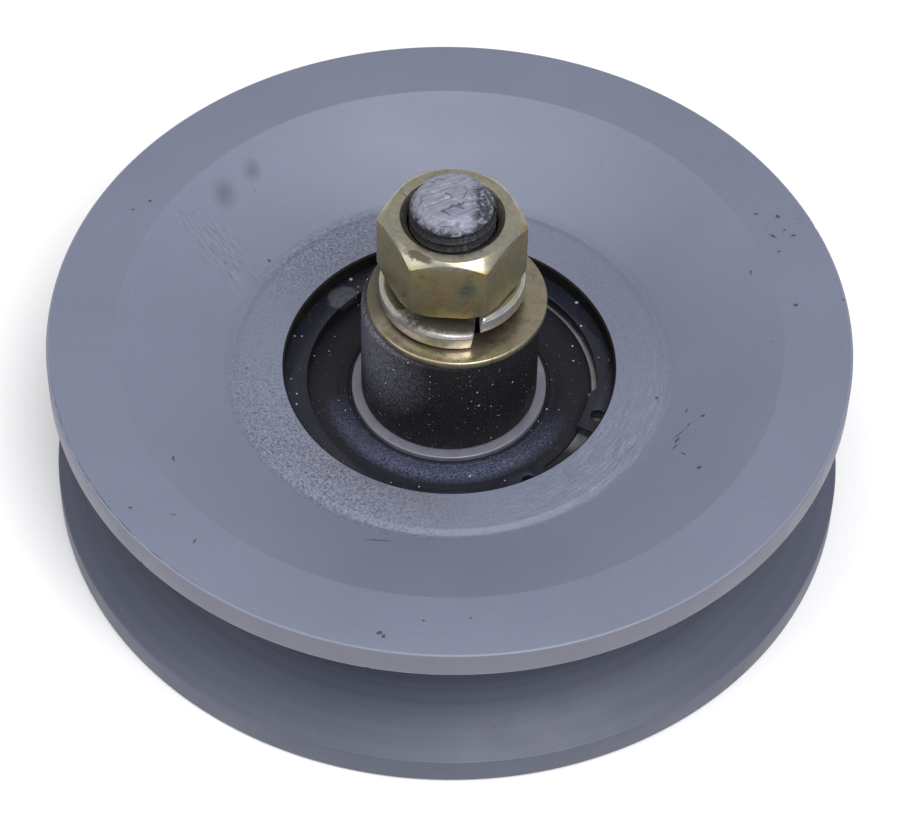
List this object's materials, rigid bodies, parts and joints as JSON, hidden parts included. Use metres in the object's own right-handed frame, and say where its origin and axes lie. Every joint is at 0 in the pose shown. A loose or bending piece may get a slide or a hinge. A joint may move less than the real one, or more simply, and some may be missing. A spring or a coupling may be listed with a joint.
{
  "type": "belt tensioner idler pulley",
  "caption": "V-grooved idler pulley on a sealed ball bearing, held by a circlip, with its bolt, stepped bush, washers and nut.",
  "frame": {"origin": "centre of the lower rim's flat face, on the spin axis; the part rests on that face", "axes": "+Z along the spin axis, from the lower rim towards the nut"},
  "size_m": [0.15, 0.15, 0.0743],
  "materials": {
    "pulley_paint": "blue-grey spray paint, satin, over fine turning marks",
    "bearing_steel": "ground bearing steel, satin",
    "ball_steel": "polished bearing balls",
    "pressed_steel": "plain pressed steel",
    "seal_rubber": "black seal rubber with a dusting of paint overspray",
    "clip_steel": "phosphated spring steel, near black",
    "black_steel": "black phosphate, grainy",
    "yellow_zinc": "yellow passivated zinc, iridescent olive",
    "bright_zinc": "bright zinc with a yellow tint"
  },
  "bodies": {
    "axle": {"axle_bolt": "black_steel", "stepped_bush": "black_steel", "bearing_inner_ring": "bearing_steel", "flat_washer": "yellow_zinc", "split_washer": "bright_zinc", "hex_nut": "yellow_zinc"},
    "pulley": {"pulley_body": "pulley_paint", "retaining_ring": "clip_steel", "bearing_outer_ring": "bearing_steel", "upper_seal_rubber": "seal_rubber", "upper_seal_insert": "pressed_steel", "lower_seal_rubber": "seal_rubber", "lower_seal_insert": "pressed_steel"},
    "cage": {"cage_upper_half": "pressed_steel", "cage_lower_half": "pressed_steel", "cage_rivet_1": "pressed_steel", "cage_rivet_2": "pressed_steel", "cage_rivet_3": "pressed_steel", "cage_rivet_4": "pressed_steel", "cage_rivet_5": "pressed_steel", "cage_rivet_6": "pressed_steel", "cage_rivet_7": "pressed_steel"},
    "ball_1": {"bearing_ball_1": "ball_steel"},
    "ball_2": {"bearing_ball_2": "ball_steel"},
    "ball_3": {"bearing_ball_3": "ball_steel"},
    "ball_4": {"bearing_ball_4": "ball_steel"},
    "ball_5": {"bearing_ball_5": "ball_steel"},
    "ball_6": {"bearing_ball_6": "ball_steel"},
    "ball_7": {"bearing_ball_7": "ball_steel"}
  },
  "joints": [
    {"name": "pulley_spin", "type": "hinge", "parent": "axle", "child": "pulley", "pos_m": [0, 0, 0.0144], "axis": [0, 0, 1], "continuous": true},
    {"name": "cage_spin", "type": "hinge", "parent": "axle", "child": "cage", "pos_m": [0, 0, 0.0144], "axis": [0, 0, 1], "continuous": true},
    {"name": "ball_1_spin", "type": "hinge", "parent": "cage", "child": "ball_1", "pos_m": [0.02175, 0, 0.0144], "axis": [0, 0, 1], "continuous": true},
    {"name": "ball_2_spin", "type": "hinge", "parent": "cage", "child": "ball_2", "pos_m": [0.01356, 0.017, 0.0144], "axis": [0, 0, 1], "continuous": true},
    {"name": "ball_3_spin", "type": "hinge", "parent": "cage", "child": "ball_3", "pos_m": [-0.00484, 0.02121, 0.0144], "axis": [0, 0, 1], "continuous": true},
    {"name": "ball_4_spin", "type": "hinge", "parent": "cage", "child": "ball_4", "pos_m": [-0.0196, 0.00944, 0.0144], "axis": [0, 0, 1], "continuous": true},
    {"name": "ball_5_spin", "type": "hinge", "parent": "cage", "child": "ball_5", "pos_m": [-0.0196, -0.00944, 0.0144], "axis": [0, 0, 1], "continuous": true},
    {"name": "ball_6_spin", "type": "hinge", "parent": "cage", "child": "ball_6", "pos_m": [-0.00484, -0.02121, 0.0144], "axis": [0, 0, 1], "continuous": true},
    {"name": "ball_7_spin", "type": "hinge", "parent": "cage", "child": "ball_7", "pos_m": [0.01356, -0.017, 0.0144], "axis": [0, 0, 1], "continuous": true}
  ],
  "couplings": [
    {"joint": "cage_spin", "follows": "pulley_spin", "ratio": 0.63218},
    {"joint": "ball_1_spin", "follows": "pulley_spin", "ratio": 1.7591},
    {"joint": "ball_2_spin", "follows": "pulley_spin", "ratio": 1.7591},
    {"joint": "ball_3_spin", "follows": "pulley_spin", "ratio": 1.7591},
    {"joint": "ball_4_spin", "follows": "pulley_spin", "ratio": 1.7591},
    {"joint": "ball_5_spin", "follows": "pulley_spin", "ratio": 1.7591},
    {"joint": "ball_6_spin", "follows": "pulley_spin", "ratio": 1.7591},
    {"joint": "ball_7_spin", "follows": "pulley_spin", "ratio": 1.7591}
  ]
}
